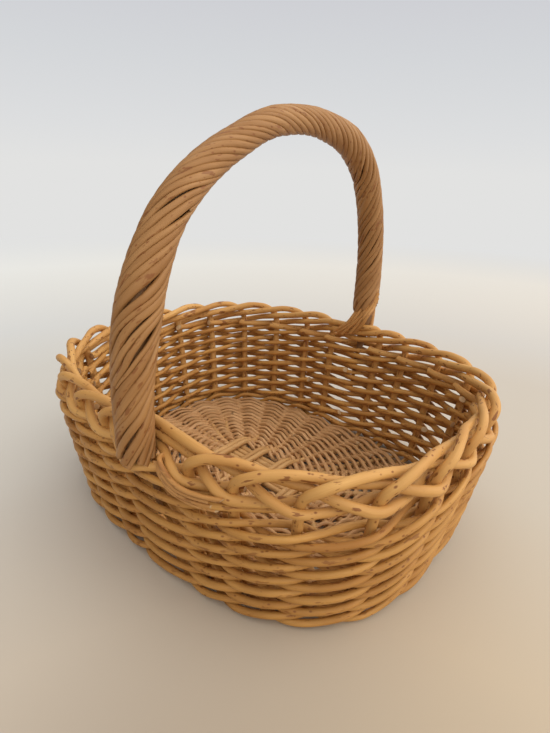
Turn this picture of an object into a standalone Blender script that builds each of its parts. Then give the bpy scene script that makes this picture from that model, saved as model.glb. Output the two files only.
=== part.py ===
"""Oval willow basket for mushroom foraging, with a wrapped bow handle.

Metres, +Z up. X runs along the oval and Y across it, and the origin is on the floor under the middle.
The basket is worked in stake and strand: side stakes pushed into the base, three-rod wale round them,
and a trac border made of the same stakes laid down in turn. Along the wall a place is counted in
stakes, anticlockwise from the +X end, and a rod's offset is positive outside the line of stakes.
"""

import math
from collections import namedtuple

import bmesh
import bpy
from mathutils import Vector

MM = 0.001

# Oval line of the stakes, at the floor and at the rim
BASE_LENGTH = 336 * MM
BASE_WIDTH = 266 * MM
RIM_LENGTH = 372 * MM
RIM_WIDTH = 297 * MM
WALL_HEIGHT = 109 * MM
OVAL_POWER = 2.75
OVAL_STEPS = 720

# Rods
CLEARANCE = 0.3 * MM
STAKE_DIAMETER = 6.8 * MM
WALE_DIAMETER = 5.3 * MM
BASE_STICK_DIAMETER = 4.8 * MM
WRAP_BUTT_DIAMETER = 5.7 * MM
WRAP_TIP_DIAMETER = 4.8 * MM
ROUND_STEPS = 1

# Side stakes: how they are spread round the oval, with the drift of hand work
STAKES = 26
FIRST_STAKE_SHARE = 0.98
DRIFT_STAKE = 21.6
DRIFT_SHARE = 0.2
DRIFT_SPREAD = 1.6
BOW_PUSH_SHARE = 0.3
BOW_PUSH_SPREAD = 0.9
FOOT_LENGTH = 28 * MM
FOOT_TIP_SHARE = 0.5
FOOT_ROOT_SHARE = 0.7
KINK_SHARE = 0.8
KINK_INSET_SHARE = 0.4
KINK_START_SHARE = 0.2
KINK_THICKNESS_SHARE = 0.88

# Three-rod wale. Shares are of a rod's half thickness, or of the way along a gap
WALE_RODS = 3
WALE_ROUNDS = 8
ROUNDS_PER_ROD = 2
STEP_UP_STAKES = 3
FIRST_ROUND_HEIGHT = 7.6 * MM
FIRST_ROUND_LIFT = 5.6 * MM
WALE_BOW_REACH = 5 * MM
WALE_TO_BORDER = 10.6 * MM
CROSSING_IN_SHARE = 0.8
CROSSING_OUT_SHARE = 1.7
CROSSING_AT_BOW_SHARE = 1.1
BEFORE_BOW_SHARE = 0.56
AFTER_BOW_SHARE = 0.44
ROD_JOIN_SHARE = 0.1
ROD_START_SHARE = 0.124

# Border. Each group of rows is a rod's run past one gap, from the gap after its own stake on. A row is
# the share of the way to the next stake, then offset and height over the wall, as shares of a layer
BORDER_TOP_SHARE = 2.7
BORDER_DIP_SHARE = -0.45
BORDER_RUN_SHARES = (
    (
        (0.00, 0.00, 0.00),
        (0.06, 0.25, 1.30),
        (0.20, 0.42, 2.00),
        (0.40, 0.15, 2.58),
        (0.75, -0.45, BORDER_TOP_SHARE),
    ),
    (
        (0.10, -0.98, 2.15),
        (0.50, -1.00, 1.55),
    ),
    (
        (0.00, -0.95, 0.98),
        (0.20, -0.60, 0.80),
        (0.50, 0.35, 0.42),
        (0.95, 1.12, -0.30),
    ),
    (
        (0.50, -0.10, BORDER_DIP_SHARE),
        (0.92, -1.00, -0.22),
    ),
    ((0.12, -1.12, -0.02),),
)

# Where a foot of the bow stands in the gap, the run goes round it. The way counts from the foot, back
# to the last stake where it is below 0, and a share of the foot's own offset comes before the others
BORDER_AT_BOW_SHARES = (
    (
        (-1.00, 0.00, 0.00, 0.00),
        (-0.97, 0.00, 0.20, 1.00),
        (-0.88, 0.00, 0.22, 2.10),
        (-0.74, 0.00, -0.32, 2.88),
        (-0.48, 1.45, 0.00, 2.92),
        (0.00, 1.60, 0.00, BORDER_TOP_SHARE),
    ),
    (
        (-0.77, 0.00, -0.98, 2.00),
        (0.00, 1.14, 0.00, 1.50),
    ),
    (
        (-0.96, 0.00, -0.95, 0.95),
        (0.00, 1.00, 0.00, 0.45),
        (0.30, 0.70, 0.00, 0.54),
        (0.62, 0.00, 0.40, 0.52),
        (0.96, 0.00, 1.12, -0.30),
    ),
    (
        (0.00, 1.00, 0.00, BORDER_DIP_SHARE),
        (0.50, 0.00, 0.10, BORDER_DIP_SHARE),
        (0.92, 0.00, -1.00, -0.22),
    ),
)
GAP_OUTSIDE_FOOT = 3

# Bow of the handle: its feet stand opposite each other, the first at -Y, each between two stakes
FRONT_FOOT_PLACE = 20.1
FRONT_FOOT_OFFSET = 8.5 * MM
FRONT_FOOT_THICKNESS = 25.6 * MM
FRONT_ARCH_POWER = 2.55
BACK_FOOT_PLACE = 6.3
BACK_FOOT_OFFSET = 4.5 * MM
BACK_FOOT_THICKNESS = 12 * MM
BACK_ARCH_POWER = 2.65
HANDLE_HEIGHT = 325 * MM
CROWN_OFFSET = 42 * MM
ARCH_STEPS = 13
BARE_BOW_DIAMETER = 9.5 * MM
TONGUE_DIAMETER = 5 * MM
TONGUE_DEPTH = 46 * MM
TONGUE_TIP_SHARE = 0.8
TONGUE_LEAN_SHARE = 0.6

# Wrapped thickness along the bow, from the front foot over the hip to the back foot
HIP_THICKNESS = 30.5 * MM
CROWN_THICKNESS = 24 * MM
BACK_LEG_THICKNESS = 27.5 * MM
CROWN_PLACE_SHARE = 0.5
HIP_PLACE_SHARE = 0.155
HIP_SPREAD_SHARE = 0.07
WRAP_RODS = 9
WRAP_LAY = 118 * MM
WRAP_STEPS_PER_TURN = 6
WRAP_TAPER_SHARE = 0.625

# Base: crossed sticks between an upper and a lower layer of close weaving
UNDER_WEAVE_THICKNESS = 3 * MM
OVER_WEAVE_THICKNESS = 3.4 * MM
WEAVE_ROWS = 4
WEAVE_RIDGE = 0.9 * MM
WEAVE_STEPS = 36
SLATH_LENGTH = 128 * MM
SLATH_WIDTH = 56 * MM
LONG_STICK_SPACING = 8 * MM
SHORT_STICK_SPACING = 22 * MM
STICK_END_SHARE = 1.4
STEP_OVER_SHARE = 0.35
STEP_LENGTH_SHARE = 1.05

# The stakes just before each end of a stick: left and right of the long ones, front and back of the short
LONG_STICK_STAKES = ((13, 23), (12, 24), (11, 25), (10, 26))
SHORT_STICK_STAKES = ((15, 8), (17, 6), (18, 5), (19, 4), (21, 2))

# Willow, from stripped and boiled to weathered
WILLOW_TAN = (0.62, 0.40, 0.19)
WILLOW_GOLD = (0.68, 0.44, 0.20)
WILLOW_PALE = (0.60, 0.41, 0.26)
WILLOW_BROWN = (0.50, 0.31, 0.16)
WILLOW_ROUGHNESS = 0.62

# Worked out from the sizes above
BORDER_LAYER = STAKE_DIAMETER + CLEARANCE
WALE_OFFSET = (STAKE_DIAMETER + WALE_DIAMETER) / 2 + CLEARANCE * 2
WALE_STACK = WALE_DIAMETER / 2 + CLEARANCE / 2
WALE_TOP = WALL_HEIGHT - WALE_TO_BORDER
WALE_RISE = (WALE_TOP - FIRST_ROUND_HEIGHT) / (WALE_ROUNDS - 1)
BASE_EDGE = -(WALE_OFFSET + WALE_DIAMETER / 2 + CLEARANCE)
STICK_HEIGHT = UNDER_WEAVE_THICKNESS + CLEARANCE + BASE_STICK_DIAMETER / 2
OVER_WEAVE_HEIGHT = STICK_HEIGHT + BASE_STICK_DIAMETER / 2 + CLEARANCE
BORDER_DIP = WALL_HEIGHT + BORDER_LAYER * BORDER_DIP_SHARE
WRAP_START = BORDER_DIP + (STAKE_DIAMETER + WRAP_BUTT_DIAMETER) / 2
WRAP_STOP = WALL_HEIGHT + BORDER_LAYER * BORDER_TOP_SHARE + STAKE_DIAMETER

Foot = namedtuple("Foot", "place offset thickness arch_start arch_power")
FRONT_FOOT = Foot(
    FRONT_FOOT_PLACE, FRONT_FOOT_OFFSET, FRONT_FOOT_THICKNESS, WRAP_START, FRONT_ARCH_POWER
)
BACK_FOOT = Foot(BACK_FOOT_PLACE, BACK_FOOT_OFFSET, BACK_FOOT_THICKNESS, WRAP_STOP, BACK_ARCH_POWER)


def clear_scene():
    for obj in list(bpy.data.objects):
        bpy.data.objects.remove(obj, do_unlink=True)


def new_collection(name):
    collection = bpy.data.collections.new(name)
    bpy.context.scene.collection.children.link(collection)
    return collection


def willow(name, colour):
    material = bpy.data.materials.new(name)
    material.use_nodes = True
    surface = material.node_tree.nodes["Principled BSDF"]
    surface.inputs["Base Color"].default_value = (*colour, 1)
    surface.inputs["Roughness"].default_value = WILLOW_ROUGHNESS
    surface.inputs["Metallic"].default_value = 0
    material.diffuse_color = (*colour, 1)
    return material


def rod(name, points, diameter, material, shares=None, resolution=0):
    """A rod along straight runs between points, thinned at each by its share of the diameter."""
    curve = bpy.data.curves.new(name, "CURVE")
    curve.dimensions = "3D"
    curve.bevel_depth = diameter / 2
    curve.bevel_resolution = resolution
    curve.use_fill_caps = True
    spline = curve.splines.new("POLY")
    spline.use_smooth = True
    spline.points.add(len(points) - 1)
    for index, point in enumerate(points):
        spline.points[index].co = (*point, 1)
        spline.points[index].radius = shares[index] if shares else 1
    curve.materials.append(material)
    obj = bpy.data.objects.new(name, curve)
    basket.objects.link(obj)
    return obj


def between(first, second, share=0.5):
    return first + (second - first) * share


def run_lengths(points):
    """How far along the points each of them lies."""
    run = [0.0]
    for first, second in zip(points, points[1:]):
        run.append(run[-1] + (second - first).length)
    return run


# Oval and places along it

def oval(angle, half_length, half_width):
    """A point of the oval and the direction out of it."""
    along, across = math.cos(angle), math.sin(angle)
    x = half_length * math.copysign(abs(along) ** (2 / OVAL_POWER), along)
    y = half_width * math.copysign(abs(across) ** (2 / OVAL_POWER), across)
    slope_x = math.copysign(abs(x / half_length) ** (OVAL_POWER - 1), x) / half_length
    slope_y = math.copysign(abs(y / half_width) ** (OVAL_POWER - 1), y) / half_width
    return Vector((x, y, 0)), Vector((slope_x, slope_y, 0)).normalized()


def even_places():
    """The oval's angle at each step along the rim, and how far along the rim that is."""
    angles = [math.tau * step / OVAL_STEPS for step in range(OVAL_STEPS + 1)]
    return angles, run_lengths([oval(angle, RIM_LENGTH / 2, RIM_WIDTH / 2)[0] for angle in angles])


def angle_at(place):
    target = place % STAKES / STAKES * RIM_RUN[-1]
    low = 0
    while low < OVAL_STEPS - 1 and RIM_RUN[low + 1] < target:
        low += 1
    share = (target - RIM_RUN[low]) / (RIM_RUN[low + 1] - RIM_RUN[low])
    return between(RIM_ANGLES[low], RIM_ANGLES[low + 1], share)


def wall(place, offset, height):
    """The point at a place along the wall, this far outside the stakes' line and this high."""
    share = height / WALL_HEIGHT
    half_length = between(BASE_LENGTH, RIM_LENGTH, share) / 2
    half_width = between(BASE_WIDTH, RIM_WIDTH, share) / 2
    point, outward = oval(angle_at(place), half_length, half_width)
    point += outward * offset
    point.z = height
    return point


def stake_place(number):
    """Where a stake stands. The bow's two feet push their neighbours aside."""
    turns, index = divmod(number, STAKES)
    place = index + FIRST_STAKE_SHARE
    place -= DRIFT_SHARE * math.exp(-(((index - DRIFT_STAKE) / DRIFT_SPREAD) ** 2))
    for foot in (FRONT_FOOT, BACK_FOOT):
        away = place - foot.place
        push = BOW_PUSH_SHARE * math.exp(-((away / BOW_PUSH_SPREAD) ** 2))
        place += math.copysign(push, away)
    return place + turns * STAKES


def gap_middle(number):
    return between(stake_place(number), stake_place(number + 1))


def foot_after(number):
    """The foot of the bow that stands between this stake and the next one, if any."""
    turns, index = divmod(number, STAKES)
    for foot in (FRONT_FOOT, BACK_FOOT):
        if stake_place(index) < foot.place < stake_place(index + 1):
            return foot._replace(place=foot.place + turns * STAKES)
    return None


# Stakes and border: each stake goes over the top, behind the next two, in front of one, and in

def foot_side(foot, outside):
    """Offset at which a border rod passes the foot: outside its bare end, or inside its thickness."""
    if outside:
        return foot.offset + (BARE_BOW_DIAMETER + STAKE_DIAMETER) / 2 + CLEARANCE
    return foot.offset - (foot.thickness + STAKE_DIAMETER) / 2 - CLEARANCE


def border_run(number):
    """Points (place, offset, height over the wall) of the stake's own rod of the border."""
    run = []
    for passed, rows in enumerate(BORDER_RUN_SHARES):
        last, following = stake_place(number + passed), stake_place(number + passed + 1)
        foot = foot_after(number + passed)
        if foot and passed < len(BORDER_AT_BOW_SHARES):
            side = foot_side(foot, passed == GAP_OUTSIDE_FOOT)
            for way, reach, offset, height in BORDER_AT_BOW_SHARES[passed]:
                place = between(foot.place, last if way < 0 else following, abs(way))
                run.append((place, side * reach + offset * BORDER_LAYER, height * BORDER_LAYER))
        else:
            for way, offset, height in rows:
                place = between(last, following, way)
                run.append((place, offset * BORDER_LAYER, height * BORDER_LAYER))
    return run


def build_stakes():
    """Stakes, each with its foot in the base and its own rod of the border."""
    material = willow("willow_stake", WILLOW_GOLD)
    kink = STICK_HEIGHT + STAKE_DIAMETER * KINK_SHARE
    kink_start = between(STICK_HEIGHT, kink, KINK_START_SHARE)
    for number in range(STAKES):
        place = stake_place(number)
        points = [
            wall(place, BASE_EDGE - FOOT_LENGTH, STICK_HEIGHT),
            wall(place, BASE_EDGE, STICK_HEIGHT),
            wall(place, -STAKE_DIAMETER * KINK_INSET_SHARE, kink_start),
            wall(place, 0, kink),
        ]
        shares = [FOOT_TIP_SHARE, FOOT_ROOT_SHARE, KINK_THICKNESS_SHARE, 1]
        for along, offset, height in border_run(number):
            points.append(wall(along, offset, WALL_HEIGHT + height))
            shares.append(1)
        rod(f"stake_{number + 1:02d}", points, STAKE_DIAMETER, material, shares)


# Wale: each rod passes outside two stakes and inside one

def wale_height(number):
    """Height of the round at a stake. A round is level and steps up over its last stakes."""
    turns, index = divmod(number, STAKES)
    step = max(0, index - (STAKES - STEP_UP_STAKES)) / STEP_UP_STAKES
    return FIRST_ROUND_HEIGHT + WALE_RISE * (turns + step)


def gap_height(number):
    return between(wale_height(number), wale_height(number + 1))


def inside_point(number):
    """Where a wale rod passes behind a stake. The first round lies over the stakes' feet there."""
    height = wale_height(number)
    lift = FIRST_ROUND_LIFT * max(0, 1 - (height - FIRST_ROUND_HEIGHT) / WALE_RISE)
    return wall(stake_place(number), -WALE_OFFSET, height + lift)


def crossing_in(number):
    """Where a rod that comes in after this stake crosses the gap, if it needs a point there."""
    foot = foot_after(number)
    if foot:
        place = between(stake_place(number), foot.place, BEFORE_BOW_SHARE)
        return wall(place, 0, gap_height(number) + WALE_STACK * CROSSING_AT_BOW_SHARE)
    if number < STAKES:
        return wall(gap_middle(number), 0, gap_height(number) + WALE_STACK * CROSSING_IN_SHARE)
    return None


def crossing_out(number):
    """Where a rod that goes out after this stake crosses the gap, below the one that comes in."""
    foot = foot_after(number)
    if foot:
        place = between(foot.place, stake_place(number + 1), AFTER_BOW_SHARE)
        return wall(place, 0, gap_height(number) - WALE_STACK * CROSSING_AT_BOW_SHARE)
    return wall(gap_middle(number), 0, gap_height(number) - WALE_STACK * CROSSING_OUT_SHARE)


def behind_tongue(number, rise):
    side = (TONGUE_DIAMETER + WALE_DIAMETER) / 2 + CLEARANCE * 2
    return wall(foot_after(number).place, -side, gap_height(number) + rise)


def bowed_out(at_stake, other_end):
    """A rod bows past the stake that it leans on, in line with where it comes from or goes to."""
    point = at_stake + (at_stake - other_end).normalized() * WALE_BOW_REACH
    point.z = at_stake.z
    return point


def wale_stroke(number, rod_number):
    """Points of a wale rod at one stake and in the gap after it."""
    role = (number + rod_number) % WALE_RODS
    place, height = stake_place(number), wale_height(number)
    if role == 0:
        at_stake = wall(place, WALE_OFFSET, height - WALE_STACK)
        return [bowed_out(at_stake, crossing_out(number - 1))]
    if role == 1:
        at_stake = wall(place, WALE_OFFSET, height + WALE_STACK)
        crossing = crossing_in(number)
        stroke = [bowed_out(at_stake, crossing or inside_point(number + 1))]
        if crossing:
            stroke.append(crossing)
        if foot_after(number):
            stroke.append(behind_tongue(number, WALE_STACK))
        return stroke
    stroke = [inside_point(number)]
    if foot_after(number):
        stroke.append(behind_tongue(number, -WALE_STACK))
    stroke.append(crossing_out(number))
    return stroke


def first_inside(number, rod_number):
    """The first stake from this one on that the rod passes on the inside."""
    while (number + rod_number) % WALE_RODS != WALE_RODS - 1:
        number += 1
    return number


def build_wale():
    """Wale rods. Each runs two rounds and is cut inside, where the next one starts."""
    material = willow("willow_wale", WILLOW_TAN)
    last = STAKES * WALE_ROUNDS - STEP_UP_STAKES - WALE_RODS
    for rod_number in range(WALE_RODS):
        for band in range(WALE_ROUNDS // ROUNDS_PER_ROD):
            start = first_inside(STAKES * ROUNDS_PER_ROD * band, rod_number)
            stop = first_inside(min(STAKES * ROUNDS_PER_ROD * (band + 1), last), rod_number)
            points = []
            for number in range(start, stop):
                points += wale_stroke(number, rod_number)
            if band > 0:
                points[0] = points[0].lerp(points[1], ROD_START_SHARE)
            at_stop, past_it = wale_stroke(stop, rod_number)[:2]
            points += [at_stop, at_stop.lerp(past_it, ROD_JOIN_SHARE)]
            rod(f"wale_{rod_number + 1}{'abcdefgh'[band]}", points, WALE_DIAMETER, material)


# Handle: a bow with slim rods wound round it in one steep helix

def arch_points():
    """Centre line of the bow above its feet, in the upright plane through both feet."""
    front = wall(FRONT_FOOT.place, FRONT_FOOT.offset, WALL_HEIGHT)
    back = wall(BACK_FOOT.place, BACK_FOOT.offset, WALL_HEIGHT)
    crown = front.lerp(back, (CROWN_OFFSET - front.y) / (back.y - front.y))
    legs = []
    for foot, end in ((FRONT_FOOT, front), (BACK_FOOT, back)):
        leg = []
        for step in range(ARCH_STEPS + 1):
            turn = math.pi / 2 * (step / ARCH_STEPS)
            point = end.lerp(crown, 1 - math.cos(turn) ** (2 / foot.arch_power))
            upward = math.sin(turn) ** (2 / foot.arch_power)
            point.z = between(foot.arch_start, HANDLE_HEIGHT, upward)
            leg.append(point)
        legs.append(leg)
    return legs[0] + legs[1][-2::-1]


def arch_at(distance):
    """Point and direction of the bow this far along its arch."""
    low = 0
    while low < len(ARCH) - 2 and ARCH_RUN[low + 1] < distance:
        low += 1
    share = (distance - ARCH_RUN[low]) / (ARCH_RUN[low + 1] - ARCH_RUN[low])
    runs = [(second - first).normalized() for first, second in zip(ARCH, ARCH[1:])]
    start = runs[max(low - 1, 0)] + runs[low]
    stop = runs[low] + runs[min(low + 1, len(runs) - 1)]
    return ARCH[low].lerp(ARCH[low + 1], share), start.lerp(stop, share).normalized()


def wrapped_diameter(distance):
    """Thickness over the wrapping: a full hip on the front leg, slimmer at the crown."""
    share = distance / ARCH_RUN[-1]
    if share < CROWN_PLACE_SHARE:
        plain = between(FRONT_FOOT_THICKNESS, CROWN_THICKNESS, share / CROWN_PLACE_SHARE)
    else:
        rest = (share - CROWN_PLACE_SHARE) / (1 - CROWN_PLACE_SHARE)
        plain = between(CROWN_THICKNESS, BACK_LEG_THICKNESS, rest)
    hip = math.exp(-(((share - HIP_PLACE_SHARE) / HIP_SPREAD_SHARE) ** 2))
    return plain + (HIP_THICKNESS - FRONT_FOOT_THICKNESS) * hip


def wrap_diameter(distance):
    share = min(1, distance / ARCH_RUN[-1] / WRAP_TAPER_SHARE)
    return between(WRAP_BUTT_DIAMETER, WRAP_TIP_DIAMETER, share)


def bow_diameter(distance):
    """The bow fills the wrapping, clear of the flats between its rods' points."""
    middle = wrapped_diameter(distance) - wrap_diameter(distance)
    return middle * math.cos(math.pi / WRAP_STEPS_PER_TURN) - wrap_diameter(distance) - CLEARANCE * 3


def tongue(foot):
    """Points and diameters of a foot of the bow, from its cut tip in the wall to its bare end."""
    return [
        (wall(foot.place, 0, WALE_TOP - TONGUE_DEPTH), TONGUE_DIAMETER * TONGUE_TIP_SHARE),
        (wall(foot.place, 0, WALE_TOP), TONGUE_DIAMETER),
        (
            wall(foot.place, foot.offset * TONGUE_LEAN_SHARE, BORDER_DIP),
            between(TONGUE_DIAMETER, BARE_BOW_DIAMETER),
        ),
        (wall(foot.place, foot.offset, WALL_HEIGHT + STAKE_DIAMETER), BARE_BOW_DIAMETER),
    ]


def build_bow():
    """The bow: its arch, and at each foot a tongue that tapers down into the wall."""
    material = willow("willow_bow", WILLOW_BROWN)
    arch = [
        (point, bow_diameter(distance))
        for point, distance in zip(ARCH, ARCH_RUN)
        if point.z > WRAP_STOP
    ]
    line = tongue(FRONT_FOOT) + arch + tongue(BACK_FOOT)[::-1]
    points = [point for point, diameter in line]
    shares = [diameter / BARE_BOW_DIAMETER for point, diameter in line]
    rod("handle_bow", points, BARE_BOW_DIAMETER, material, shares, ROUND_STEPS)


def build_wrap():
    """Slim rods round the bow, side by side, from the border at one foot to the other."""
    material = willow("willow_wrap", WILLOW_PALE)
    across = (ARCH[-1] - ARCH[0]).cross(Vector((0, 0, 1))).normalized()
    steps = round(ARCH_RUN[-1] / WRAP_LAY * WRAP_STEPS_PER_TURN)
    for number in range(WRAP_RODS):
        points, shares = [], []
        for step in range(steps + 1):
            distance = ARCH_RUN[-1] * step / steps
            centre, along = arch_at(distance)
            inward = across.cross(along).normalized()
            turn = math.tau * (distance / WRAP_LAY + number / WRAP_RODS)
            radius = (wrapped_diameter(distance) - wrap_diameter(distance)) / 2
            points.append(centre + (inward * math.cos(turn) + across * math.sin(turn)) * radius)
            shares.append(wrap_diameter(distance) / WRAP_BUTT_DIAMETER)
        rod(f"handle_wrap_{number + 1}", points, WRAP_BUTT_DIAMETER, material, shares)


# Base: sticks crossed at the middle, with close weaving over and under them

def base_oval(out_share, height):
    """Points of an oval between the slath and the base's edge, where the share is 1."""
    points = []
    for step in range(WEAVE_STEPS):
        angle = math.tau * step / WEAVE_STEPS
        inner = oval(angle, SLATH_LENGTH / 2, SLATH_WIDTH / 2)[0]
        outer, outward = oval(angle, BASE_LENGTH / 2, BASE_WIDTH / 2)
        point = inner.lerp(outer + outward * BASE_EDGE, out_share)
        point.z = height
        points.append(point)
    return points


def ringed_solid(name, rings, material, filled):
    """A solid through ovals of equal point counts. It closes on itself, or is filled at both ends."""
    mesh = bpy.data.meshes.new(name)
    builder = bmesh.new()
    rows = [[builder.verts.new(point) for point in ring] for ring in rings]
    pairs = list(zip(rows, rows[1:]))
    if filled:
        builder.faces.new(rows[0])
        builder.faces.new(rows[-1])
    else:
        pairs.append((rows[-1], rows[0]))
    for low, high in pairs:
        for index in range(WEAVE_STEPS):
            after = (index + 1) % WEAVE_STEPS
            builder.faces.new((low[index], low[after], high[after], high[index]))
    bmesh.ops.recalc_face_normals(builder, faces=builder.faces)
    builder.to_mesh(mesh)
    builder.free()
    mesh.materials.append(material)
    mesh.shade_smooth()
    mesh.set_sharp_from_angle(angle=math.pi / 6)
    obj = bpy.data.objects.new(name, mesh)
    basket.objects.link(obj)
    return obj


def build_base_weave():
    """Two layers of close weaving. The upper one is ridged in rows and open over the slath."""
    material = willow("willow_base_weave", WILLOW_PALE)
    top = OVER_WEAVE_HEIGHT + OVER_WEAVE_THICKNESS
    furrow = top - WEAVE_RIDGE
    over = [base_oval(0, OVER_WEAVE_HEIGHT), base_oval(0, furrow)]
    for row in range(WEAVE_ROWS):
        over.append(base_oval(between(row, row + 1) / WEAVE_ROWS, top))
        over.append(base_oval((row + 1) / WEAVE_ROWS, furrow))
    over.append(base_oval(1, OVER_WEAVE_HEIGHT))
    ringed_solid("base_weave_over", over, material, False)
    under = [
        base_oval(1 - 1 / WEAVE_ROWS, 0),
        base_oval(1, UNDER_WEAVE_THICKNESS / 2),
        base_oval(1, UNDER_WEAVE_THICKNESS),
    ]
    ringed_solid("base_weave_under", under, material, True)


def stick_end(stake):
    """Where a base stick ends, at the edge of the base in the gap after a stake."""
    return wall(gap_middle(stake), BASE_EDGE * STICK_END_SHARE, STICK_HEIGHT)


def build_base_sticks():
    """Long sticks lie level, and short ones step over them inside the slath."""
    material = willow("willow_base_stick", WILLOW_BROWN)
    long_middle = (len(LONG_STICK_STAKES) - 1) / 2
    for number, (left, right) in enumerate(LONG_STICK_STAKES):
        y = (number - long_middle) * LONG_STICK_SPACING
        points = [
            stick_end(left),
            Vector((-SLATH_LENGTH / 2, y, STICK_HEIGHT)),
            Vector((SLATH_LENGTH / 2, y, STICK_HEIGHT)),
            stick_end(right),
        ]
        rod(f"base_stick_long_{number + 1}", points, BASE_STICK_DIAMETER, material)
    step = long_middle * LONG_STICK_SPACING + BASE_STICK_DIAMETER * (1 / 2 + STEP_OVER_SHARE)
    low = step + BASE_STICK_DIAMETER * (STEP_LENGTH_SHARE + STEP_OVER_SHARE)
    over = STICK_HEIGHT + BASE_STICK_DIAMETER + CLEARANCE
    short_middle = (len(SHORT_STICK_STAKES) - 1) / 2
    for number, (front, back) in enumerate(SHORT_STICK_STAKES):
        x = (number - short_middle) * SHORT_STICK_SPACING
        points = [
            stick_end(front),
            Vector((x, -low, STICK_HEIGHT)),
            Vector((x, -step, over)),
            Vector((x, step, over)),
            Vector((x, low, STICK_HEIGHT)),
            stick_end(back),
        ]
        rod(f"base_stick_short_{number + 1}", points, BASE_STICK_DIAMETER, material)


RIM_ANGLES, RIM_RUN = even_places()
ARCH = arch_points()
ARCH_RUN = run_lengths(ARCH)

clear_scene()
basket = new_collection("foraging_basket")
build_base_weave()
build_base_sticks()
build_stakes()
build_wale()
build_bow()
build_wrap()
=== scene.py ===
"""Oval willow basket for mushroom foraging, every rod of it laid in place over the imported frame.

Metres, +Z up, the frame's own axes: X runs along the oval, Y across it, and the near foot of the
handle is at -Y. Rods keep the places of the frame's solids, which are read from the frame itself.
"""

import math

import bpy
import numpy as np
from mathutils import Matrix, Vector


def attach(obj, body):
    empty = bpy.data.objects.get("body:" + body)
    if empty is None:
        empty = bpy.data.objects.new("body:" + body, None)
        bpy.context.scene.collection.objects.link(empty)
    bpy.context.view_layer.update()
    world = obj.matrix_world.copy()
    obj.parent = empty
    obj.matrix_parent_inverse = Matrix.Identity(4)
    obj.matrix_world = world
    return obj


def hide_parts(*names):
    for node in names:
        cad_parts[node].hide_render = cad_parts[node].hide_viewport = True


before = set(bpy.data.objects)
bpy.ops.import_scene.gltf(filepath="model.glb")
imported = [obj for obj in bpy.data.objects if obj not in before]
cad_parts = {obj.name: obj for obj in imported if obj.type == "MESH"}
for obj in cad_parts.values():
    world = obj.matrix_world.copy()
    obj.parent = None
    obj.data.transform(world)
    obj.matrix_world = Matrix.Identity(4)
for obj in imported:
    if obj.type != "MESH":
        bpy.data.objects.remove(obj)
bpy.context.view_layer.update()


# The photograph's viewpoint, about half a metre from the basket and looking down into it past the
# near foot of the handle. The lens is the one that gives the photograph's frame.

VIEW_PLACE = Vector((0.26938, -0.30325, 0.28977))
VIEW_TURN = math.radians(130.488)
VIEW_DOWN = math.radians(22.646)
VIEW_TILT = math.radians(1.899)
VIEW_LENS, VIEW_SENSOR = 23.457, 36

forward = Vector((
    math.cos(VIEW_DOWN) * math.cos(VIEW_TURN),
    math.cos(VIEW_DOWN) * math.sin(VIEW_TURN),
    -math.sin(VIEW_DOWN),
))
level_right = forward.cross(Vector((0, 0, 1))).normalized()
level_up = level_right.cross(forward)
right = level_right * math.cos(VIEW_TILT) + level_up * math.sin(VIEW_TILT)
up = level_up * math.cos(VIEW_TILT) - level_right * math.sin(VIEW_TILT)

view_data = bpy.data.cameras.new("view")
view_data.sensor_width = VIEW_SENSOR
view_data.lens = VIEW_LENS
view_data.clip_start = 0.01
view = bpy.data.objects.new("view", view_data)
bpy.context.scene.collection.objects.link(view)
view.matrix_world = Matrix((
    (right.x, up.x, -forward.x, VIEW_PLACE.x),
    (right.y, up.y, -forward.y, VIEW_PLACE.y),
    (right.z, up.z, -forward.z, VIEW_PLACE.z),
    (0, 0, 0, 1),
))
bpy.context.scene.camera = view
bpy.context.scene.view_settings.view_transform = "Standard"


# The stand: a pale warm table that fades to a bright backdrop behind the basket, so no edge shows.
# It keeps the basket's shadow near the basket and gives its own light further off. Its tone is
# painted light and shade over the table's own pale colour, and goes by the distance from one
# fixed spot, and by the side of that spot on which it lies.

FLOOR_SIZE = 40
TONES_FROM, TONES_TO = 0.15, 2.15
SHADOW_UP_TO, OWN_LIGHT_FROM = 1.0, 2.2


def links(tree, *pairs):
    for out, into in pairs:
        tree.links.new(out, into)


def new_node(tree, kind, **values):
    """A node with its plain settings. A name with a socket's number gives that socket's value."""
    node = tree.nodes.new("ShaderNode" + kind)
    for name, value in values.items():
        if name.startswith("in_"):
            node.inputs[int(name[3:])].default_value = value
        else:
            setattr(node, name, value)
    return node


floor_mesh = bpy.data.meshes.new("floor")
floor_mesh.from_pydata(
    [(x * FLOOR_SIZE / 2, y * FLOOR_SIZE / 2, 0) for x, y in ((-1, -1), (1, -1), (1, 1), (-1, 1))],
    [], [(0, 1, 2, 3)],
)
floor = bpy.data.objects.new("floor", floor_mesh)
bpy.context.scene.collection.objects.link(floor)

floor_material = bpy.data.materials.new("pale table")
floor_material.use_nodes = True
tree = floor_material.node_tree
surface = tree.nodes["Principled BSDF"]
surface.inputs["Roughness"].default_value = 0.75
surface.inputs["Specular IOR Level"].default_value = 0.2
output = tree.nodes["Material Output"]
place = new_node(tree, "NewGeometry")
away = new_node(tree, "VectorMath", operation="DISTANCE")
away.inputs[1].default_value = (VIEW_PLACE.x, VIEW_PLACE.y, 0)
sideways = new_node(tree, "VectorMath", operation="DOT_PRODUCT")
sideways.inputs[1].default_value = level_right
offset = new_node(tree, "VectorMath", operation="SUBTRACT")
offset.inputs[1].default_value = VIEW_PLACE
swing = new_node(tree, "Math", operation="DIVIDE")
warm = new_node(tree, "MapRange", in_1=-0.5, in_2=0.5)
cool_side = new_node(tree, "ValToRGB")
warm_side = new_node(tree, "ValToRGB")
side_mix = new_node(tree, "Mix", data_type="RGBA")
reach = new_node(tree, "MapRange", in_1=TONES_FROM, in_2=TONES_TO)
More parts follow.
